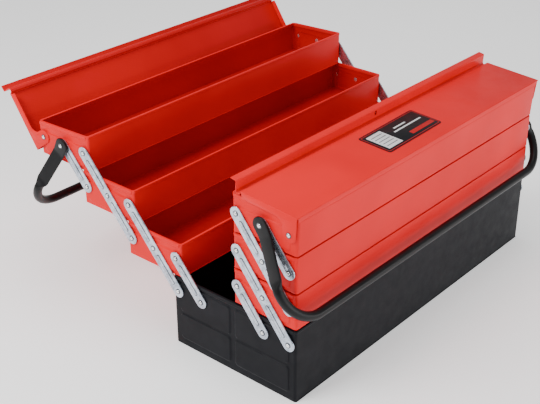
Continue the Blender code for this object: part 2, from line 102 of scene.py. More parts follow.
# Raised panels and lines in the end walls
TRAY_PANEL_INSET = 0.0090
TRAY_PANEL_BOTTOM = 0.0045
TRAY_PANEL_TOP = 0.0130
BASE_BORDER = 0.0105
BASE_RIB = 0.0070
BASE_LINE = 0.0030
BASE_LINE_Z = 0.0500
BASE_TOP_BORDER = 0.0085

# Lids, as the frame has them, measured from the hinge axis with the lid shut
LID_SLOPE = math.radians(4.3)
LID_RISE = 0.0263
LID_OUTER = 0.0107
LID_PANEL = 0.0836
SKIRT_DEPTH = 0.0067
SKIRT_LEAN = 0.0004
SKIRT_GAP = 0.0003
GUTTER_RADIUS = 0.0031
GUTTER_DROP = 0.0014
LIP_WALL = 0.0109
LIP_FLANGE = 0.0088
LIP_FLANGE_RISE = 0.0007
END_FLANGE_DEPTH = 0.0093
EAR_RADIUS = 0.0095
EAR_FILLET = 0.0120
EAR_INNER_X = 0.26535
END_OVERHANG = 0.0013
RIM_RECESS = 0.0014
LID_BEND = 0.0012
LIP_BEND = 0.0014
FLANGE_DROP = 0.0003
FLANGE_OUTER = 0.0009
FLANGE_INNER = 0.0010
FLANGE_LOW_INNER = 0.0030
LID_EDGE = 0.0003
FLANGE_EDGE = 0.00025
SLOT_WIDTH = 0.0042
SLOT_HEIGHT = 0.0060

# Links
LINK_WIDTH = 0.0170
LINK_THICKNESS = 0.0017
LINK_EDGE = 0.00035
RIB_WIDTH = 0.0056
RIB_END_DISTANCE = 0.0125
RIB_ROOT = 0.0001
# Bands at the foot of each rib that take the dark zinc copy: painted shade.
RIB_SHADE_BANDS = 3
RIB_PROFILE = ((1.0, 0.0), (1.0, 0.16), (0.86, 0.30), (0.70, 0.62),
               (0.58, 0.84), (0.42, 0.96), (0.22, 1.0))

# Rivets
SHANK_RADIUS = 0.00165
HOLE_RADIUS = 0.00195
HEAD_RADIUS = 0.0036
HEAD_HEIGHT = 0.0013
DOME_RADIUS = 0.0025
DOME_BANDS = 5
TAIL_RADIUS = 0.0032
TAIL_HEIGHT = 0.0007
TAIL_BANDS = 3
RIVET_STEPS = 32

# Handles
HANDLE_RADIUS = 0.0060
HANDLE_BEND = 0.0460
STRAP_HALF_WIDTH = 0.0098
STRAP_HALF_THICKNESS = 0.0015
STRAP_END_RADIUS = 0.0105
STRAP_PLATE_END = 0.0140
STRAP_END = 0.0600
STRAP_NARROWING = 0.0120
SWELL_INSET = 0.0030
HANDLE_STEP = 0.0018
HANDLE_SIDES = 28

# Label
LABEL_TURN = math.radians(1.2)
LABEL_FILM = 0.00022
LABEL_CORNER = 0.0035
LABEL_FRAME_INSET = 0.0040
LABEL_FRAME_CORNER = 0.0025
LABEL_FRAME_WIDTH = 0.0009
INK = 0.00006
INK_SUNK = 0.00002
ROW_LIFT = 0.00003
ROW_INK = 0.00004
FRAME_INK = 0.00007
BOX_MIDDLE = 0.0230
BOX_ROWS = 5
BOX_ROW_STEP = 0.0060
BOX_FIRST_ROW = 0.0120

# Stage
FLOOR_HALF = 6.0
FLOOR_DROP = 0.0002
FLOOR_GLOW = 0.45
WORLD_STRENGTH = 0.50


# ---------------------------------------------------------------- materials


class Nodes:
    """A material's node tree, with short ways to add and link nodes."""

    def __init__(self, name):
        self.material = bpy.data.materials.new(name)
        self.material.use_nodes = True
        self.tree = self.material.node_tree
        self.shader = self.tree.nodes["Principled BSDF"]
        self.place = self.add("ShaderNodeTexCoord").outputs["Object"]

    def add(self, kind, **inputs):
        node = self.tree.nodes.new(kind)
        for key, value in inputs.items():
            socket = node.inputs[key.replace("_", " ")]
            if isinstance(value, bpy.types.NodeSocket):
                self.tree.links.new(value, socket)
            else:
                socket.default_value = value
        return node

    def set(self, **inputs):
        for key, value in inputs.items():
            socket = self.shader.inputs[key.replace("_", " ")]
            if isinstance(value, bpy.types.NodeSocket):
                self.tree.links.new(value, socket)
            else:
                socket.default_value = value

    def noise(self, scale, detail=3.0, roughness=0.5, stretch=(1, 1, 1)):
        """Noise of about scale features to a metre, in the object's own coordinates."""
        scaled = self.add("ShaderNodeMapping", Vector=self.place, Scale=stretch)
        node = self.add("ShaderNodeTexNoise", Vector=scaled.outputs["Vector"], Scale=scale,
                        Detail=detail, Roughness=roughness)
        return node.outputs["Fac"]

    def ramp(self, value, stops):
        node = self.add("ShaderNodeValToRGB", Fac=value)
        elements = node.color_ramp.elements
        while len(elements) < len(stops):
            elements.new(0.5)
        for element, (position, colour) in zip(elements, stops):
            element.position = position
            element.color = (*colour, 1.0)
        return node.outputs["Color"]

    def map(self, value, low, high, from_low=0.3, from_high=0.7):
        node = self.add("ShaderNodeMapRange", Value=value, From_Min=from_low, From_Max=from_high,
                        To_Min=low, To_Max=high)
        return node.outputs["Result"]

    def bump(self, heights):
        """Chain bumps, each a (height, strength, distance in metres)."""
        normal = None
        for height, strength, distance in heights:
            node = self.add("ShaderNodeBump", Height=height, Strength=strength, Distance=distance)
            if normal is not None:
                self.tree.links.new(normal, node.inputs["Normal"])
            normal = node.outputs["Normal"]
        self.set(Normal=normal)


def red_paint(name, dark, light, roughness, gloss):
    """Gloss powder coat: a fine orange peel, slow changes of tone and a few dulled patches."""
    nodes = Nodes(name)
    tone = nodes.noise(9.0, 2.0)
    nodes.set(Base_Color=nodes.ramp(tone, [(0.35, dark), (0.65, light)]))
    dull = nodes.noise(45.0, 5.0, 0.6)
    nodes.set(Roughness=nodes.map(dull, roughness - 0.05, roughness + 0.07))
    nodes.bump([(nodes.noise(7.0, 1.0), 0.25, 0.004), (nodes.noise(620.0, 2.0), 0.05, 0.0004)])
    nodes.set(Specular_IOR_Level=gloss)
    return nodes.material


def black_paint():
    """Satin charcoal powder coat on the base, with a fine tooth and faint dusty smears."""
    nodes = Nodes("black_paint_satin")
    smear = nodes.noise(14.0, 4.0, 0.6, (1, 1, 2.5))
    nodes.set(Base_Color=nodes.ramp(smear, [(0.3, (0.0040, 0.0042, 0.0060)),
                                            (0.7, (0.0066, 0.0069, 0.0096))]))
    nodes.set(Roughness=nodes.map(nodes.noise(60.0, 4.0, 0.6), 0.42, 0.56), Specular_IOR_Level=0.12)
    nodes.bump([(nodes.noise(9.0, 1.0), 0.2, 0.003), (nodes.noise(1300.0, 2.0), 0.22, 0.0003)])
    return nodes.material


def handle_coat():
    """Black coating on the handles, slightly rubbed in long streaks."""
    nodes = Nodes("black_coat_handle")
    rub = nodes.noise(40.0, 5.0, 0.65, (1, 1, 0.4))
    nodes.set(Base_Color=nodes.ramp(rub, [(0.35, (0.0035, 0.0035, 0.0040)),
                                          (0.72, (0.0090, 0.0090, 0.0100))]))
    nodes.set(Roughness=nodes.map(rub, 0.28, 0.42), Specular_IOR_Level=0.20)
    nodes.bump([(nodes.noise(900.0, 3.0), 0.20, 0.0003)])
    return nodes.material


def zinc(name, roughness, dark=(0.30, 0.335, 0.40), light=(0.60, 0.66, 0.75)):
    """Bright zinc plate: cloudy bluish mottling with fine pickling grain."""
    nodes = Nodes(name)
    cloud = nodes.noise(110.0, 5.0, 0.65)
    nodes.set(Base_Color=nodes.ramp(cloud, [(0.34, dark), (0.60, light)]))
    grain = nodes.noise(420.0, 2.0, 0.5)
    nodes.set(Roughness=nodes.map(grain, roughness - 0.07, roughness + 0.10), Metallic=0.85)
    nodes.bump([(grain, 0.02, 0.0003), (nodes.noise(60.0, 1.0), 0.05, 0.0008)])
    return nodes.material


def ink(name, colour, roughness=0.42):
    """Printed ink on the label's film, with a faint unevenness."""
    nodes = Nodes(name)
    tone = nodes.noise(300.0, 3.0)
    darker = tuple(channel * 0.86 for channel in colour)
    nodes.set(Base_Color=nodes.ramp(tone, [(0.3, darker), (0.7, colour)]))
    nodes.set(Roughness=nodes.map(nodes.noise(90.0), roughness - 0.05, roughness + 0.05),
              Specular_IOR_Level=0.15)
    nodes.bump([(nodes.noise(500.0), 0.05, 0.0002)])
    return nodes.material


# The inside copy is the same red paint made darker, as painted shade for the tray insides and the lid's
# underside.
RED_OUT = red_paint("red_paint_outside", (0.720, 0.006, 0.009), (0.800, 0.009, 0.013), 0.34, 0.10)
RED_IN_SHADED = red_paint("red_paint_inside_shaded", (0.500, 0.0018, 0.0040), (0.570, 0.0030, 0.0060), 0.38, 0.12)
BLACK = black_paint()
COAT = handle_coat()
ZINC = zinc("zinc_link", 0.25)
ZINC_BRIGHT = zinc("zinc_rivet", 0.14, (0.72, 0.74, 0.77), (0.90, 0.91, 0.93))
# A darkened zinc copy, painted shade on the rib sides and round the rivet heads' rims.
ZINC_PAINTED_SHADE = zinc("zinc_painted_shade", 0.45, (0.050, 0.053, 0.060), (0.16, 0.17, 0.19))
LABEL_BLACK = ink("label_black", (0.006, 0.006, 0.008))
LABEL_RED = ink("label_red", (0.50, 0.006, 0.008))
LABEL_WHITE = ink("label_white", (0.74, 0.74, 0.74))
LABEL_GREY = ink("label_grey", (0.10, 0.10, 0.11))


# ---------------------------------------------------------------- mesh tools


def side_turn(sign):
    """From a side's own frame to the world's."""
    return Matrix.Rotation(0.0 if sign > 0 else math.pi, 4, "Z")


def make_object(name, bm, materials, sharp_degrees=32):
    bmesh.ops.recalc_face_normals(bm, faces=bm.faces)
    mesh = bpy.data.meshes.new(name)
    bm.to_mesh(mesh)
    bm.free()
    for material in materials:
        mesh.materials.append(material)
    mesh.shade_smooth()
    mesh.set_sharp_from_angle(angle=math.radians(sharp_degrees))
    obj = bpy.data.objects.new(name, mesh)
    bpy.context.scene.collection.objects.link(obj)
    return obj


def add_loft(bm, rings, materials=None, cap_start=True, cap_end=True):
    """Join rings of equally many points into one skin; materials gives each band's index."""
    loops = [[bm.verts.new(p) for p in ring] for ring in rings]
    count = len(loops[0])
    for band, (one, two) in enumerate(zip(loops, loops[1:])):
        for i in range(count):
            j = (i + 1) % count
            face = bm.faces.new((one[i], one[j], two[j], two[i]))
            if materials:
                face.material_index = materials[band]
    for use, loop, band in ((cap_start, loops[0], 0), (cap_end, loops[-1], -1)):
        if use:
            face = bm.faces.new(loop)
            if materials:
                face.material_index = materials[band]


def arc(centre, radius, start_degrees, end_degrees, segments):
    points = []
    for i in range(segments + 1):
        angle = math.radians(start_degrees + (end_degrees - start_degrees) * i / segments)
        points.append((centre[0] + radius * math.cos(angle), centre[1] + radius * math.sin(angle)))
    return points


def smooth_step(value):
    t = min(max(value, 0.0), 1.0)
    return t * t * (3 - 2 * t)


def add_plate(bm, outline, x_low, x_high, edge, material=0, place=None):
    """A flat plate in the YZ plane with softened edges: the outline, pulled in near each face."""
    rings = []
    count = len(outline)
    inward = []
    for i in range(count):
        before, here, after = (Vector(outline[(i + k) % count]) for k in (-1, 0, 1))
        tangent = ((here - before).normalized() + (after - here).normalized()).normalized()
        inward.append(Vector((-tangent.y, tangent.x)))
    area = sum(outline[i][0] * outline[(i + 1) % count][1] - outline[(i + 1) % count][0] * outline[i][1]
               for i in range(count))
    turn = 1.0 if area > 0 else -1.0
    step = edge * (1 - math.sqrt(0.5))
    for x, inset in ((x_low, edge), (x_low + step, step), (x_low + edge, 0.0),
                     (x_high - edge, 0.0), (x_high - step, step), (x_high, edge)):
        ring = []
        for point, normal in zip(outline, inward):
            shifted = Vector(point) + normal * inset * turn
            ring.append(Vector((x, shifted.x, shifted.y)))
        rings.append(ring)
    if place is not None:
        rings = [[place @ p for p in ring] for ring in rings]
    add_loft(bm, rings, [material] * (len(rings) - 1))


# ---------------------------------------------------------------- trays and base


def relief(y, z, panels, rim_z):
    """How far an end wall stands proud at a point: raised panels and the folded hem."""
    best = smooth_step((z - (rim_z - HEM_DEPTH)) / HEM_SLOPE + 0.5)
    for y_low, y_high, z_low, z_high in panels:
        half_y, half_z = (y_high - y_low) / 2, (z_high - z_low) / 2
        across = abs(y - (y_low + y_high) / 2) - (half_y - PANEL_CORNER)
        above = abs(z - (z_low + z_high) / 2) - (half_z - PANEL_CORNER)
        outside = math.hypot(max(across, 0), max(above, 0)) + min(max(across, above), 0) - PANEL_CORNER
        best = max(best, smooth_step(-outside / RELIEF_SLOPE))
    return best * RELIEF


def rim_bead(below):
    """How far the rolled rim of a long inner wall stands proud, at a distance below its top."""
    reach = (below - BEAD_HALF_HEIGHT) / BEAD_HALF_HEIGHT
    return RIM_BEAD * math.sqrt(max(1.0 - reach * reach, 0.0))


class TrayShape:
    """An open-topped box: its faces, and the height of its rim, which may slope."""

    def __init__(self, half_x, y_in, y_out, y_out_top, z_low, z_in, z_out, recess_z=None):
        self.half_x = half_x - RELIEF
        self.y_in = y_in
        self.y_out = y_out
        self.y_out_top = y_out_top
        self.z_low = z_low
        self.z_in = z_in
        self.z_out = z_out
        self.recess_z = recess_z
        self.panels = []

    def rim(self, y):
        t = (y - self.y_in) / (self.y_out - self.y_in)
        return self.z_in + (self.z_out - self.z_in) * min(max(t, 0.0), 1.0)

    def outer_face(self, z):
        t = min(max((z - self.z_low) / (self.z_out - self.z_low), 0.0), 1.0)
        y = self.y_out + (self.y_out_top - self.y_out) * t
        if self.recess_z is not None:
            y -= RIM_RECESS * smooth_step((z - self.recess_z) / RECESS_RAMP)
        return y

    def ring(self, level, drop, inset, is_inner=False):
        """A turn round the box. level runs 0 to 1 up the wall; drop is a distance below it."""
        def height(y):
            return self.z_low + (self.rim(y) - self.z_low) * level - drop
        y_high = self.outer_face(height(self.y_out)) - inset
        y_low = self.y_in + inset
        half = self.half_x - inset
        radius = max(VERTICAL_RADIUS - inset, CORNER_MIN_RADIUS)
        end_columns = round((self.y_out - self.y_in) / ROW_STEP)
        points = []
        straight = half - radius
        if not is_inner and inset <= 0.0:
            y_low += RIM_BEAD - rim_bead(self.rim(self.y_in) - height(self.y_in))
        for i in range(LONG_COLUMNS):
            x = straight - 2 * straight * i / LONG_COLUMNS
            points.append((x, y_high, 0))
        for y, z in arc((-straight, y_high - radius), radius, 90, 180, CORNER_STEPS)[:-1]:
            points.append((y, z, 0))
        for i in range(end_columns):
            y = y_high - radius + (y_low - y_high + 2 * radius) * i / end_columns
            points.append((-half, y, -1))
        for y, z in arc((-straight, y_low + radius), radius, 180, 270, CORNER_STEPS)[:-1]:
            points.append((y, z, 0))
        for i in range(LONG_COLUMNS):
            x = -straight + 2 * straight * i / LONG_COLUMNS
            points.append((x, y_low, 0))
        for y, z in arc((straight, y_low + radius), radius, 270, 360, CORNER_STEPS)[:-1]:
            points.append((y, z, 0))
        for i in range(end_columns):
            y = y_low + radius + (y_high - y_low - 2 * radius) * i / end_columns
            points.append((half, y, 1))
        for y, z in arc((straight, y_high - radius), radius, 0, 90, CORNER_STEPS)[:-1]:
            points.append((y, z, 0))
        ring = []
        for x, y, end in points:
            z = height(y)
            if end:
                rim_z = self.rim(y) if not is_inner else 10.0
                x += end * relief(y, z, self.panels, rim_z)
            ring.append(Vector((x, y, z)))
        return ring

    def rings(self):
        """From the underside, up the outside, over the hem and down the inside to the floor."""
        height = max(self.z_in, self.z_out) - self.z_low
        rows = round((height - ROWS_OFF) / ROW_STEP)
        bend = FLOOR_RADIUS * FLOOR_BEND_SHARE
        rings = [self.ring(0.0, 0.0, FLOOR_RADIUS), self.ring(0.0, -bend, bend)]
        low = FLOOR_RADIUS / height
        high = 1.0 - (2 * BEAD_HALF_HEIGHT + BEAD_CLEARANCE) / height
        for row in range(rows + 1):
            rings.append(self.ring(low + (high - low) * row / rows, 0.0, 0.0))
        for row in range(BEAD_ROWS + 1):
            turn = math.pi * row / BEAD_ROWS
            drop = BEAD_HALF_HEIGHT * (1 + math.cos(turn))
            rings.append(self.ring(1.0, max(drop, HEM_CROWN), 0.0))
        half = HEM_WIDTH / 2
        for degrees in (150, 120, 90, 60, 30):
            turn = math.radians(degrees)
            rings.append(self.ring(1.0, HEM_CROWN * (1 - math.sin(turn)), half + half * math.cos(turn)))
        outer = len(rings)
        rings.append(self.ring(1.0, HEM_CROWN, HEM_WIDTH))
        rings.append(self.ring(1.0, HEM_DEPTH - HEM_FOOT, HEM_WIDTH, True))
        rings.append(self.ring(1.0, HEM_DEPTH, HEM_WIDTH - HEM_FOOT, True))
        rings.append(self.ring(1.0, HEM_DEPTH + HEM_STEP, SHEET, True))
        high = 1.0 - (HEM_DEPTH + HEM_CLEARANCE) / height
        low = (SHEET + FLOOR_RADIUS) / height
        for row in range(rows + 1):
            rings.append(self.ring(high + (low - high) * row / rows, 0.0, SHEET, True))
        rings.append(self.ring(0.0, -SHEET - bend, SHEET + bend, True))
        rings.append(self.ring(0.0, -SHEET, SHEET + FLOOR_RADIUS, True))
        return rings, outer


def tray_piece(name, shape, sign, body, node, outside, inside):
    bm = bmesh.new()
    rings, outer = shape.rings()
    turn = side_turn(sign)
    rings = [[turn @ p for p in ring] for ring in rings]
    # The inner skin takes the inside material; for the red trays it is the darker copy, painted shade.
    bands = [0 if band < outer else 1 for band in range(len(rings) - 1)]
    add_loft(bm, rings, bands)
    obj = make_object(name, bm, [outside, inside])
    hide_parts(node)
    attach(obj, body)
    return obj


def side_box(node, sign):
    """A node's box as (low, high) in its side's own frame."""
    low, high = (Vector(corner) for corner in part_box(node))
    if sign < 0:
        low, high = Vector((-high.x, -high.y, low.z)), Vector((-low.x, -low.y, high.z))
    return low, high


def side_pivot(name, sign):
    """A joint's place in its side's own frame."""
    x, y, z = JOINTS[name]["pos_m"]
    return Vector((0.0, sign * y, z))


def build_trays(side, sign):
    for level in ("lower", "middle"):
        node = f"{side}_{level}_tray"
        low, high = side_box(node, sign)
        shape = TrayShape(END_X, low.y, high.y, high.y, low.z, high.z, high.z)
        shape.panels = [(low.y + TRAY_PANEL_INSET, high.y - TRAY_PANEL_INSET,
                         low.z + TRAY_PANEL_BOTTOM, high.z - TRAY_PANEL_TOP)]
        tray_piece(f"{node}_sheet", shape, sign, node, node, RED_OUT, RED_IN_SHADED)
    node = f"{side}_upper_tray"
    low, high = side_box(node, sign)
    hinge = side_pivot(f"{side}_lid_hinge", sign)
    lower_low, lower_high = side_box(f"{side}_lower_tray", sign)
    width = lower_high.y - lower_low.y
    rim_out = low.z + (lower_high.z - lower_low.z)
    skirt_z = hinge.z + lid_point(0.0, 0.0).y - SKIRT_DEPTH - SKIRT_GAP
    flare_top = low.y + width + TOP_FLARE
    shape = TrayShape(END_X, low.y, low.y + width, flare_top, low.z, high.z, rim_out, skirt_z)
    shape.panels = [(low.y + TRAY_PANEL_INSET, low.y + width - TRAY_PANEL_INSET,
                     low.z + TRAY_PANEL_BOTTOM, rim_out - TRAY_PANEL_TOP)]
    tray_piece(f"{node}_sheet", shape, sign, node, node, RED_OUT, RED_IN_SHADED)


def build_base():
    low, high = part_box("base_box")
    shape = TrayShape(END_X, low[1], high[1], high[1], low[2], high[2], high[2])
    outer, middle = high[1] - BASE_BORDER, BASE_RIB / 2
    bottom, top = low[2] + BASE_BORDER, high[2] - BASE_TOP_BORDER
    line = BASE_LINE / 2
    for y_low, y_high in ((-outer, -middle), (middle, outer)):
        shape.panels.append((y_low, y_high, bottom, BASE_LINE_Z - line))
        shape.panels.append((y_low, y_high, BASE_LINE_Z + line, top))
    tray_piece("base_sheet", shape, 1, "base", "base_box", BLACK, BLACK)


# ---------------------------------------------------------------- lids


def lid_point(along, above):
    """A point of the shut lid, from its hinge: along the panel inward, and above the panel."""
    inward = Vector((-math.cos(LID_SLOPE), math.sin(LID_SLOPE)))
    normal = Vector((math.sin(LID_SLOPE), math.cos(LID_SLOPE)))
    return normal * LID_RISE - inward * LID_OUTER + inward * along + normal * above


def lid_section():
    """The lid's outer face, with its bends rounded."""
    corner = lid_point(0.0, 0.0)
    skirt = (corner.x - SKIRT_LEAN, corner.y - SKIRT_DEPTH)
    points = [skirt, (corner.x - SKIRT_LEAN * 0.5, corner.y - SKIRT_DEPTH * 0.5)]
    bend = LID_BEND
    for degrees in (5, 25, 45, 65, 85):
        turn = math.radians(degrees)
        points.append(tuple(lid_point(bend * (1 - math.cos(turn)), -bend * (1 - math.sin(turn)))))
    for step in range(1, 12):
        points.append(tuple(lid_point(LID_PANEL * step / 12, 0.0)))
    for degrees in (90, 65, 40, 15):
        turn = math.radians(degrees)
        points.append(tuple(lid_point(LID_PANEL - GUTTER_DROP + GUTTER_DROP * math.cos(turn),
                                      -GUTTER_DROP + GUTTER_DROP * math.sin(turn))))
    centre = LID_PANEL + GUTTER_RADIUS
    for degrees in range(180, 361, 15):
        turn = math.radians(degrees)
        points.append(tuple(lid_point(centre + GUTTER_RADIUS * math.cos(turn),
                                      -GUTTER_DROP + GUTTER_RADIUS * math.sin(turn))))
    wall = LID_PANEL + 2 * GUTTER_RADIUS
    points.append(tuple(lid_point(wall, LIP_WALL * 0.4)))
    bend = LIP_BEND
    for degrees in (0, 30, 60, 90):
        turn = math.radians(degrees)
        points.append(tuple(lid_point(wall + bend * (1 - math.cos(turn)),
                                      LIP_WALL - bend + bend * math.sin(turn))))
    points.append(tuple(lid_point(wall + LIP_FLANGE * 0.6, LIP_WALL + LIP_FLANGE_RISE * 0.55)))
    points.append(tuple(lid_point(wall + LIP_FLANGE, LIP_WALL + LIP_FLANGE_RISE)))
    return points


def sheet_outline(points):
    """Both faces of a bent sheet, as one closed outline with a rounded free edge."""
    path = [Vector(p) for p in points]
    directions = [(b - a).normalized() for a, b in zip(path, path[1:])]
    normals = [Vector((-d.y, d.x)) for d in directions]
    inner = [path[0] + normals[0] * SHEET]
    for point, before, after in zip(path[1:-1], normals, normals[1:]):
        mitre = (before + after).normalized()
        inner.append(point + mitre * SHEET / mitre.dot(before))
    inner.append(path[-1] + normals[-1] * SHEET)
    return [tuple(p) for p in path + inner[::-1]]


def lid_end_outline():
    """The end flange and its ear: the flange's edges, a fillet and the round ear."""
    top_outer = lid_point(FLANGE_OUTER, -FLANGE_DROP)
    top_inner = lid_point(LID_PANEL - FLANGE_INNER, -FLANGE_DROP)
    low_inner = lid_point(LID_PANEL - FLANGE_LOW_INNER, -END_FLANGE_DEPTH)
    points = [tuple(top_outer)]
    for step in range(1, 10):
        points.append(tuple(top_outer.lerp(top_inner, step / 10)))
    points += [tuple(top_inner), tuple(top_inner.lerp(low_inner, 0.5)), tuple(low_inner)]
    slope = math.degrees(LID_SLOPE)
    fillet_y = -EAR_RADIUS - EAR_FILLET
    along = (LID_OUTER - fillet_y) / math.cos(LID_SLOPE)
    edge = lid_point(along, -END_FLANGE_DEPTH)
    centre = (fillet_y, edge.y - EAR_FILLET / math.cos(LID_SLOPE))
    points += arc(centre, EAR_FILLET, 90 - slope, 0, 10)
    points += arc((0.0, 0.0), EAR_RADIUS, 180, 360, 28)
    lobe_end = Vector(points[-1])
    for step in range(1, 6):
        points.append(tuple(lobe_end.lerp(top_outer, step / 6)))
    return points


def build_lid(side, sign):
    """The folded lid: a bent sheet, an end flange with its ear at each end, and a lock slot."""
    hinge = side_pivot(f"{side}_lid_hinge", sign)
    opening = math.radians(-JOINTS[f"{side}_lid_hinge"]["range_deg"][0])
    turn = side_turn(sign) @ Matrix.Translation(hinge) @ Matrix.Rotation(-opening, 4, "X")
    half_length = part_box(f"{side}_lid")[1][0]
    bm = bmesh.new()
    outline = sheet_outline(lid_section())
    add_plate(bm, outline, -half_length, half_length, LID_EDGE, 0, turn)
    skin = make_object(f"{side}_lid_panel", bm, [RED_OUT, RED_IN_SHADED])
    cut_lid(skin, turn, half_length)
    paint_underside_shade(skin, turn)
    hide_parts(f"{side}_lid")
    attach(skin, f"{side}_lid")
    for end in (-1, 1):
        bm = bmesh.new()
        x_pair = sorted((end * EAR_INNER_X, end * (EAR_INNER_X + SHEET)))
        add_plate(bm, lid_end_outline(), x_pair[0], x_pair[1], FLANGE_EDGE)
        normal = Vector((0, math.sin(LID_SLOPE), math.cos(LID_SLOPE)))
        for vert in bm.verts:
            height = normal.dot(vert.co) + EAR_RADIUS
            vert.co.x += end * END_OVERHANG * height / (EAR_RADIUS + LID_RISE)
            vert.co = turn @ vert.co
        world_end = {1: "right", -1: "left"}[end * sign]
        flange = make_object(f"{side}_lid_{world_end}_flange", bm, [RED_OUT])
        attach(flange, f"{side}_lid")
    return turn


def cut_lid(skin, turn, half_length):
    """Cut the padlock slot, and the open corners between the skirt and the ears."""
    wall = LID_PANEL + 2 * GUTTER_RADIUS
    middle = lid_point(wall, LIP_WALL * 0.52)
    corner = lid_point(0.0, 0.0)
    boxes = [((-SLOT_WIDTH / 2, middle.x - 0.004, middle.y - SLOT_HEIGHT / 2),
              (SLOT_WIDTH / 2, middle.x + 0.003, middle.y + SLOT_HEIGHT / 2))]
    for end in (-1, 1):
        x_low, x_high = sorted((end * (EAR_INNER_X - 0.0002), end * (half_length + 0.01)))
        boxes.append(((x_low, EAR_RADIUS + 0.0004, -0.001), (x_high, corner.x + 0.01, corner.y - 0.0016)))
    bm = bmesh.new()
    for low, high in boxes:
        size = Vector(high) - Vector(low)
        middle_point = (Vector(high) + Vector(low)) / 2
        bmesh.ops.create_cube(bm, size=1.0, matrix=turn @ Matrix.Translation(middle_point)
                              @ Matrix.Diagonal((*size, 1)))
    mesh = bpy.data.meshes.new("lid_cutter")
    bm.to_mesh(mesh)
    bm.free()
    cutter = bpy.data.objects.new("lid_cutter", mesh)
    bpy.context.scene.collection.objects.link(cutter)
    modifier = skin.modifiers.new("cut", "BOOLEAN")
    modifier.object = cutter
    modifier.operation = "DIFFERENCE"
    modifier.solver = "EXACT"
    apply_modifiers(skin)
    bpy.data.objects.remove(cutter)
    bpy.data.meshes.remove(mesh)


def apply_modifiers(obj):
    bpy.context.view_layer.update()
    evaluated = obj.evaluated_get(bpy.context.evaluated_depsgraph_get())
    mesh = bpy.data.meshes.new_from_object(evaluated)
    obj.modifiers.clear()
    old = obj.data
    obj.data = mesh
    bpy.data.meshes.remove(old)


def paint_underside_shade(skin, turn):
    """Give the faces that look down into the tray the darker red copy, as painted shade."""
    back = turn.inverted().to_3x3()
    for face in skin.data.polygons:
        normal = back @ face.normal
        face.material_index = 1 if normal.z < -0.5 else 0


# ---------------------------------------------------------------- links and rivets


def stadium(start, end, radius, segments):
    return arc((end, 0), radius, -90, 90, segments) + arc((start, 0), radius, 90, 270, segments)


def add_rib(bm, start, end, x_base, x_top, place):
    """A raised bead with steep sides painted dark as shade, and a softly rounded crown."""
    rings = []
    half = RIB_WIDTH / 2
    for width, level in RIB_PROFILE:
        x = x_base + (x_top - x_base) * level
        outline = stadium(start, end, half * width, 10)
        rings.append([place @ Vector((x, y, z)) for y, z in outline])
    add_loft(bm, rings, [1] * RIB_SHADE_BANDS + [0] * (len(rings) - 1 - RIB_SHADE_BANDS))


def add_pierced_plate(bm, start, end, holes, x_low, x_high, place):
    """A bar with round ends, softened edges and pivot holes: a bevelled 2D curve with its fill."""
    curve = bpy.data.curves.new("link_outline", "CURVE")
    curve.dimensions = "2D"
    curve.fill_mode = "BOTH"
    curve.extrude = (x_high - x_low) / 2 - LINK_EDGE
    curve.bevel_depth = LINK_EDGE
    curve.bevel_resolution = 2
    curve.offset = -LINK_EDGE
    outlines = [stadium(start, end, LINK_WIDTH / 2, 20)]
    for hole in holes:
        outlines.append(arc((hole, 0), HOLE_RADIUS, 4, 364, 24)[:-1])
    for points in outlines:
        spline = curve.splines.new("POLY")
        spline.points.add(len(points) - 1)
        for point, (y, z) in zip(spline.points, points):
            point.co = (y, z, 0, 1)
        spline.use_cyclic_u = True
    guide = bpy.data.objects.new("link_outline", curve)
    bpy.context.scene.collection.objects.link(guide)
    bpy.context.view_layer.update()
    evaluated = guide.evaluated_get(bpy.context.evaluated_depsgraph_get())
    mesh = bpy.data.meshes.new_from_object(evaluated)
    bpy.data.objects.remove(guide)
    bpy.data.curves.remove(curve)
    turn = Matrix(((0, 0, 1, (x_low + x_high) / 2), (1, 0, 0, 0), (0, 1, 0, 0), (0, 0, 0, 1)))
    mesh.transform(place @ turn)
    bm.from_mesh(mesh)
    bpy.data.meshes.remove(mesh)
    bmesh.ops.remove_doubles(bm, verts=bm.verts, dist=1e-6)


def build_links(side, sign):
    base_outer = side_pivot(f"{side}_fold", sign)
    base_mid = side_pivot(f"{side}_short_lower_fold", sign)
    lower_mid = side_pivot(f"{side}_lower_tray_level", sign)
    middle_mid = side_pivot(f"{side}_long_upper_fold", sign)
    middle_outer = side_pivot(f"{side}_short_upper_fold", sign)
    stage = lower_mid - base_outer
    pitch = stage.length
    angle = math.atan2(stage.z, stage.y)
    plans = (("long_lower", base_outer, (0.0, pitch, 2 * pitch)),
             ("short_lower", base_mid, (0.0, pitch)),
             ("long_upper", middle_mid, (-pitch, 0.0, pitch)),
             ("short_upper", middle_outer, (0.0, pitch)))
    for kind, pivot, holes in plans:
        for end in (-1, 1):
            world_end = {1: "right", -1: "left"}[end * sign]
            node = f"{side}_{world_end}_{kind}_link"
            low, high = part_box(node)
            inner = min(abs(low[0]), abs(high[0]))
            outer = max(abs(low[0]), abs(high[0]))
            flip = Matrix.Diagonal((end, 1, 1, 1))
            place = (side_turn(sign) @ Matrix.Translation(pivot) @ Matrix.Rotation(angle, 4, "X")
                     @ flip)
            bm = bmesh.new()
            add_pierced_plate(bm, holes[0], holes[-1], holes, inner, inner + LINK_THICKNESS, place)
            for start, stop in zip(holes, holes[1:]):
                add_rib(bm, start + RIB_END_DISTANCE, stop - RIB_END_DISTANCE,
                        inner + LINK_THICKNESS - RIB_ROOT, outer, place)
            link = make_object(f"{node}_bar", bm, [ZINC, ZINC_PAINTED_SHADE])
            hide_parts(node)
            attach(link, f"{side}_{kind}_links")


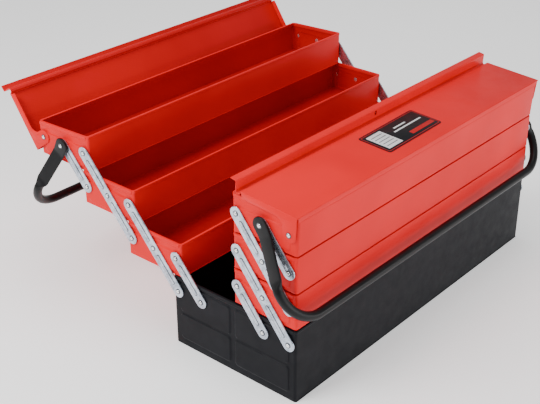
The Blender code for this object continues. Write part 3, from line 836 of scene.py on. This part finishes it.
def rivet_profile(seat, top):
    """(radius, height) from the crown of the head to the tail, which sits inside the wall."""
    tail_seat = END_X - SHEET - GAP
    rise = top - seat
    profile = []
    for degrees in (90, 76, 62, 48, 34, 20, 6):
        turn = math.radians(degrees)
        profile.append((DOME_RADIUS * math.cos(turn), seat + rise * (0.20 + 0.80 * math.sin(turn))))
    profile += [(DOME_RADIUS, seat + rise * 0.16), (HEAD_RADIUS, seat + rise * 0.12), (HEAD_RADIUS, seat)]
    profile += [(SHANK_RADIUS, seat), (SHANK_RADIUS, tail_seat), (TAIL_RADIUS, tail_seat)]
    profile += [(TAIL_RADIUS, tail_seat - TAIL_HEIGHT * 0.6), (TAIL_RADIUS * 0.8, tail_seat - TAIL_HEIGHT),
                (0.0, tail_seat - TAIL_HEIGHT)]
    return profile


def rivet_piece(name, sign, end, pivot, seat, top, body, node=None):
    bm = bmesh.new()
    rings = []
    profile = rivet_profile(seat, top)
    for radius, height in profile[1:-1]:
        ring = []
        for step in range(RIVET_STEPS):
            turn = 2 * math.pi * step / RIVET_STEPS
            ring.append(side_turn(sign) @ Vector((end * height, pivot.y + radius * math.cos(turn),
                                                  pivot.z + radius * math.sin(turn))))
        rings.append(ring)
    # The head's lower rim and the shank take the dark zinc copy, painted shade; the dome and the tail keep
    # the bright zinc.
    first_tail_band = len(rings) - 1 - TAIL_BANDS
    bands = [0 if band < DOME_BANDS or band >= first_tail_band else 1 for band in range(len(rings) - 1)]
    add_loft(bm, rings, bands, cap_start=False)
    crown = side_turn(sign) @ Vector((end * profile[0][1], pivot.y, pivot.z))
    top_ring = list(bm.verts)[:RIVET_STEPS]
    tip = bm.verts.new(crown)
    for i in range(RIVET_STEPS):
        bm.faces.new((top_ring[i], top_ring[(i + 1) % RIVET_STEPS], tip))
    rivet = make_object(name, bm, [ZINC_BRIGHT, ZINC_PAINTED_SHADE], 50)
    if node:
        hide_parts(node)
    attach(rivet, body)


def build_rivets(side, sign):
    """Every rivet of one side, loose or staked."""
    step = side_pivot(f"{side}_fold", sign) - side_pivot(f"{side}_short_lower_fold", sign)
    lower_mid = side_pivot(f"{side}_lower_tray_level", sign)
    middle_inner = side_pivot(f"{side}_middle_tray_level", sign)
    upper_inner = side_pivot(f"{side}_upper_tray_level", sign)
    handle = side_pivot(f"{side}_handle_swing", sign)
    plans = [("lower", "lower_inner_rivet", lower_mid - step), ("lower", "lower_mid_rivet", lower_mid),
             ("lower", "lower_outer_rivet", lower_mid + step), ("middle", "middle_inner_rivet", middle_inner),
             ("middle", "middle_mid_rivet", middle_inner + step),
             ("middle", "middle_outer_rivet", middle_inner + 2 * step),
             ("upper", "upper_inner_rivet", upper_inner), ("upper", "handle_rivet", handle)]
    for end in (-1, 1):
        world_end = {1: "right", -1: "left"}[end * sign]
        for level, kind, pivot in plans:
            node = f"{side}_{world_end}_{kind}"
            top = max(abs(corner[0]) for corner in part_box(node))
            rivet_piece(f"{node}_domed", sign, end, pivot, top - HEAD_HEIGHT, top,
                        f"{side}_{level}_tray", node)
        link_top = max(abs(corner[0]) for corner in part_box(f"{side}_{world_end}_lower_mid_rivet"))
        for number, joint in ((1, f"{side}_short_lower_fold"), (2, f"{side}_fold")):
            rivet_piece(f"{side}_{world_end}_base_stud_{number}", sign, end, side_pivot(joint, sign),
                        link_top - HEAD_HEIGHT, link_top, "base")
        lid_top = max(abs(corner[0]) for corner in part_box(f"{side}_upper_tray"))
        rivet_piece(f"{side}_{world_end}_lid_stud", sign, end, side_pivot(f"{side}_lid_hinge", sign),
                    lid_top - HEAD_HEIGHT, lid_top, f"{side}_upper_tray")


# ---------------------------------------------------------------- handles


def blend(value, low, high):
    return smooth_step((value - low) / (high - low))


def handle_sections(tube_x, plate_x, reach):
    """Half of the bail, as (centre, outward direction, half width, half thickness)."""
    bend_start = reach - HANDLE_BEND
    depths = []
    for degrees in range(8, 91, 8):
        turn = math.radians(degrees)
        depths.append((-STRAP_END_RADIUS * math.cos(turn), STRAP_END_RADIUS * math.sin(turn)))
    depth = 0.0
    while depth < bend_start - HANDLE_STEP:
        depth += HANDLE_STEP
        width = STRAP_END_RADIUS + (STRAP_HALF_WIDTH - STRAP_END_RADIUS) * blend(depth, 0.0, STRAP_NARROWING)
        depths.append((depth, width))
    sections = []
    for depth, width in depths:
        swell = blend(depth, STRAP_END + SWELL_INSET, bend_start - SWELL_INSET)
        if depth > STRAP_END:
            width = STRAP_HALF_WIDTH + swell * (HANDLE_RADIUS - STRAP_HALF_WIDTH)
        thickness = STRAP_HALF_THICKNESS + swell * (HANDLE_RADIUS - STRAP_HALF_THICKNESS)
        splay = min(max((depth - STRAP_PLATE_END) / (bend_start - STRAP_PLATE_END), 0.0), 1.0)
        x = plate_x + splay * (tube_x - plate_x)
        sections.append((Vector((x, 0, -depth)), Vector((1, 0, 0)), width, thickness))
    corner = Vector((tube_x - HANDLE_BEND, 0, -bend_start))
    for degrees in range(0, 91, 6):
        turn = math.radians(degrees)
        out = Vector((math.cos(turn), 0, -math.sin(turn)))
        sections.append((corner + out * HANDLE_BEND, out, HANDLE_RADIUS, HANDLE_RADIUS))
    return sections


def handle_ring(section, mirror):
    """A bar with round edges that becomes a circle as its width falls to its thickness."""
    centre, out, width, thickness = section
    ring = []
    for i in range(HANDLE_SIDES):
        turn = 2 * math.pi * (i + 0.5) / HANDLE_SIDES
        across = thickness * math.sin(turn)
        across += math.copysign(max(width - thickness, 0), math.sin(turn))
        point = centre + out * thickness * math.cos(turn) + Vector((0, across, 0))
        ring.append(Vector((mirror * point.x, point.y, point.z)))
    return ring


def build_handle(side, sign):
    pivot = side_pivot(f"{side}_handle_swing", sign)
    low, high = side_box(f"{side}_handle", sign)
    tube_x = high.x - HANDLE_RADIUS
    rivet_top = max(abs(corner[0]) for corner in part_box(f"{side}_left_handle_rivet"))
    plate_x = rivet_top - HEAD_HEIGHT - GAP - STRAP_HALF_THICKNESS
    grip = Vector((0, high.y - HANDLE_RADIUS, low.z + HANDLE_RADIUS))
    reach = (grip - pivot).length
    lean = math.atan2(grip.y - pivot.y, pivot.z - grip.z)
    sections = handle_sections(tube_x, plate_x, reach)
    rings = [handle_ring(s, -1) for s in sections] + [handle_ring(s, 1) for s in reversed(sections)]
    turn = side_turn(sign) @ Matrix.Translation(pivot) @ Matrix.Rotation(lean, 4, "X")
    bm = bmesh.new()
    add_loft(bm, [[turn @ p for p in ring] for ring in rings])
    handle = make_object(f"{side}_handle_bail", bm, [COAT], 40)
    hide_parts(f"{side}_handle")
    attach(handle, f"{side}_handle")


# ---------------------------------------------------------------- label


def label_shape(bm, centre, size, corner, height, thickness, material, place):
    """A rounded rectangle lying in the label's plane, by its centre and size."""
    half_x, half_y = size[0] / 2, size[1] / 2
    radius = min(corner, half_x * 0.98, half_y * 0.98)
    outline = []
    for sign_x, sign_y, start in ((1, 1, 0), (-1, 1, 90), (-1, -1, 180), (1, -1, 270)):
        middle = (centre[0] + sign_x * (half_x - radius), centre[1] + sign_y * (half_y - radius))
        outline += arc(middle, radius, start, start + 90, 6)
    swap = Matrix(((0, 1, 0, 0), (0, 0, 1, 0), (1, 0, 0, 0), (0, 0, 0, 1)))
    add_plate(bm, outline, height, height + thickness, min(thickness * 0.3, INK), material,
              place @ swap)


def label_frame(bm, size, corner, width, height, thickness, material, place):
    """A thin rounded frame: an outer and an inner edge joined by flat faces."""
    rings = []
    for inset, level in ((0.0, height), (0.0, height + thickness), (width, height + thickness),
                         (width, height)):
        half_x, half_y = size[0] / 2 - inset, size[1] / 2 - inset
        radius = max(corner - inset, 0.0005)
        ring = []
        for sign_x, sign_y, start in ((1, 1, 0), (-1, 1, 90), (-1, -1, 180), (1, -1, 270)):
            middle = (sign_x * (half_x - radius), sign_y * (half_y - radius))
            ring += [place @ Vector((x, y, level)) for x, y in arc(middle, radius, start, start + 90, 6)]
        rings.append(ring)
    add_closed_loft(bm, rings, material)


def add_closed_loft(bm, rings, material):
    """A skin whose last ring joins its first."""
    loops = [[bm.verts.new(p) for p in ring] for ring in rings]
    count = len(loops[0])
    for index, one in enumerate(loops):
        two = loops[(index + 1) % len(loops)]
        for i in range(count):
            j = (i + 1) % count
            bm.faces.new((one[i], one[j], two[j], two[i])).material_index = material


def build_label(lid_turn):
    """A generic printed label: bars and boxes only, with no lettering."""
    low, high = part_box("lid_label")
    centre_x = (low[0] + high[0]) / 2
    size_x = high[0] - low[0]
    # The label's own frame: X to the right as it is read from the front, Y up the panel.
    centre = (Vector(low) + Vector(high)) / 2
    local = lid_turn.inverted() @ centre
    half_y = (high[1] - low[1]) / 2 / math.cos(LID_SLOPE)
    panel = Matrix.Translation((-centre_x, local.y, local.z)) @ Matrix.Rotation(-LID_SLOPE, 4, "X")
    flip = Matrix.Rotation(math.pi, 4, "Z")
    place = lid_turn @ panel @ flip @ Matrix.Rotation(LABEL_TURN, 4, "Z")
    size = (size_x - 0.0022, 2 * half_y - 0.0024)
    bm = bmesh.new()
    top = LABEL_FILM / 2
    label_shape(bm, (0, 0), size, LABEL_CORNER, -LABEL_FILM / 2, LABEL_FILM, 0, place)
    frame_size = (size[0] - LABEL_FRAME_INSET, size[1] - LABEL_FRAME_INSET)
    label_frame(bm, frame_size, LABEL_FRAME_CORNER, LABEL_FRAME_WIDTH, top - INK_SUNK, FRAME_INK,
                1, place)
    left = -size[0] / 2
    bars = [((left + BOX_MIDDLE, 0.0), (0.030, 0.036), 2), ((0.0295, -0.0128), (0.050, 0.0070), 1),
            ((0.0200, 0.0030), (0.060, 0.0024), 2), ((0.0110, 0.0096), (0.026, 0.0024), 2)]
    for spot, bar, material in bars:
        label_shape(bm, spot, bar, 0.0006, top - INK_SUNK, INK, material, place)
    for row in range(BOX_ROWS):
        row_y = BOX_FIRST_ROW - BOX_ROW_STEP * row
        label_shape(bm, (left + BOX_MIDDLE, row_y), (0.023, 0.0013), 0.0003,
                    top + ROW_LIFT, ROW_INK, 3, place)
    label = make_object("lid_label_print", bm, [LABEL_BLACK, LABEL_RED, LABEL_WHITE, LABEL_GREY])
    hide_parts("lid_label")
    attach(label, "front_lid")


# ---------------------------------------------------------------- stage


def build_floor():
    bm = bmesh.new()
    bmesh.ops.create_grid(bm, x_segments=2, y_segments=2, size=FLOOR_HALF)
    nodes = Nodes("floor")
    nodes.set(Base_Color=nodes.ramp(nodes.noise(0.6), [(0.3, (0.93, 0.93, 0.93)),
                                                       (0.7, (0.95, 0.95, 0.95))]))
    nodes.set(Roughness=0.9, Emission_Color=(1.0, 1.0, 1.0, 1.0), Emission_Strength=FLOOR_GLOW)
    floor = make_object("floor", bm, [nodes.material])
    floor.location.z = -FLOOR_DROP


def add_area_light(name, location, aim, size, power, colour=(1, 1, 1)):
    light = bpy.data.lights.new(name, "AREA")
    light.shape = "RECTANGLE"
    light.size, light.size_y = size
    light.energy = power
    light.color = colour
    obj = bpy.data.objects.new(name, light)
    obj.location = location
    direction = Vector(aim) - Vector(location)
    obj.rotation_euler = direction.to_track_quat("-Z", "Y").to_euler()
    bpy.context.scene.collection.objects.link(obj)


def build_lights():
    world = bpy.data.worlds.new("studio")
    world.use_nodes = True
    world.node_tree.nodes["Background"].inputs["Color"].default_value = (1.0, 1.0, 1.0, 1.0)
    world.node_tree.nodes["Background"].inputs["Strength"].default_value = WORLD_STRENGTH
    bpy.context.scene.world = world
    for light in LIGHTS:
        add_area_light(*light)


def build_camera():
    direction = Vector((math.sin(CAMERA_AZIMUTH) * math.cos(CAMERA_ELEVATION),
                        -math.cos(CAMERA_AZIMUTH) * math.cos(CAMERA_ELEVATION),
                        math.sin(CAMERA_ELEVATION)))
    forward = -direction
    right = forward.cross(Vector((0, 0, 1))).normalized()
    up = right.cross(forward)
    rolled_right = right * math.cos(CAMERA_ROLL) + up * math.sin(CAMERA_ROLL)
    rolled_up = -right * math.sin(CAMERA_ROLL) + up * math.cos(CAMERA_ROLL)
    place = (Vector(CAMERA_AIM) - rolled_right * CAMERA_AIM_RIGHT - rolled_up * CAMERA_AIM_UP
             - forward * CAMERA_DISTANCE)
    camera = bpy.data.cameras.new("camera")
    camera.lens = CAMERA_LENS_MM
    camera.sensor_width = 36.0
    camera.clip_start = 0.01
    camera.clip_end = 50.0
    obj = bpy.data.objects.new("camera", camera)
    axes = Matrix((rolled_right, rolled_up, -forward)).transposed()
    obj.matrix_world = Matrix.Translation(place) @ axes.to_4x4()
    bpy.context.scene.collection.objects.link(obj)
    bpy.context.scene.camera = obj


build_camera()
build_lights()
build_floor()
build_base()
turns = {}
for side_name, side_sign in (("front", -1), ("rear", 1)):
    build_trays(side_name, side_sign)
    turns[side_name] = build_lid(side_name, side_sign)
    build_links(side_name, side_sign)
    build_rivets(side_name, side_sign)
    build_handle(side_name, side_sign)
build_label(turns["front"])
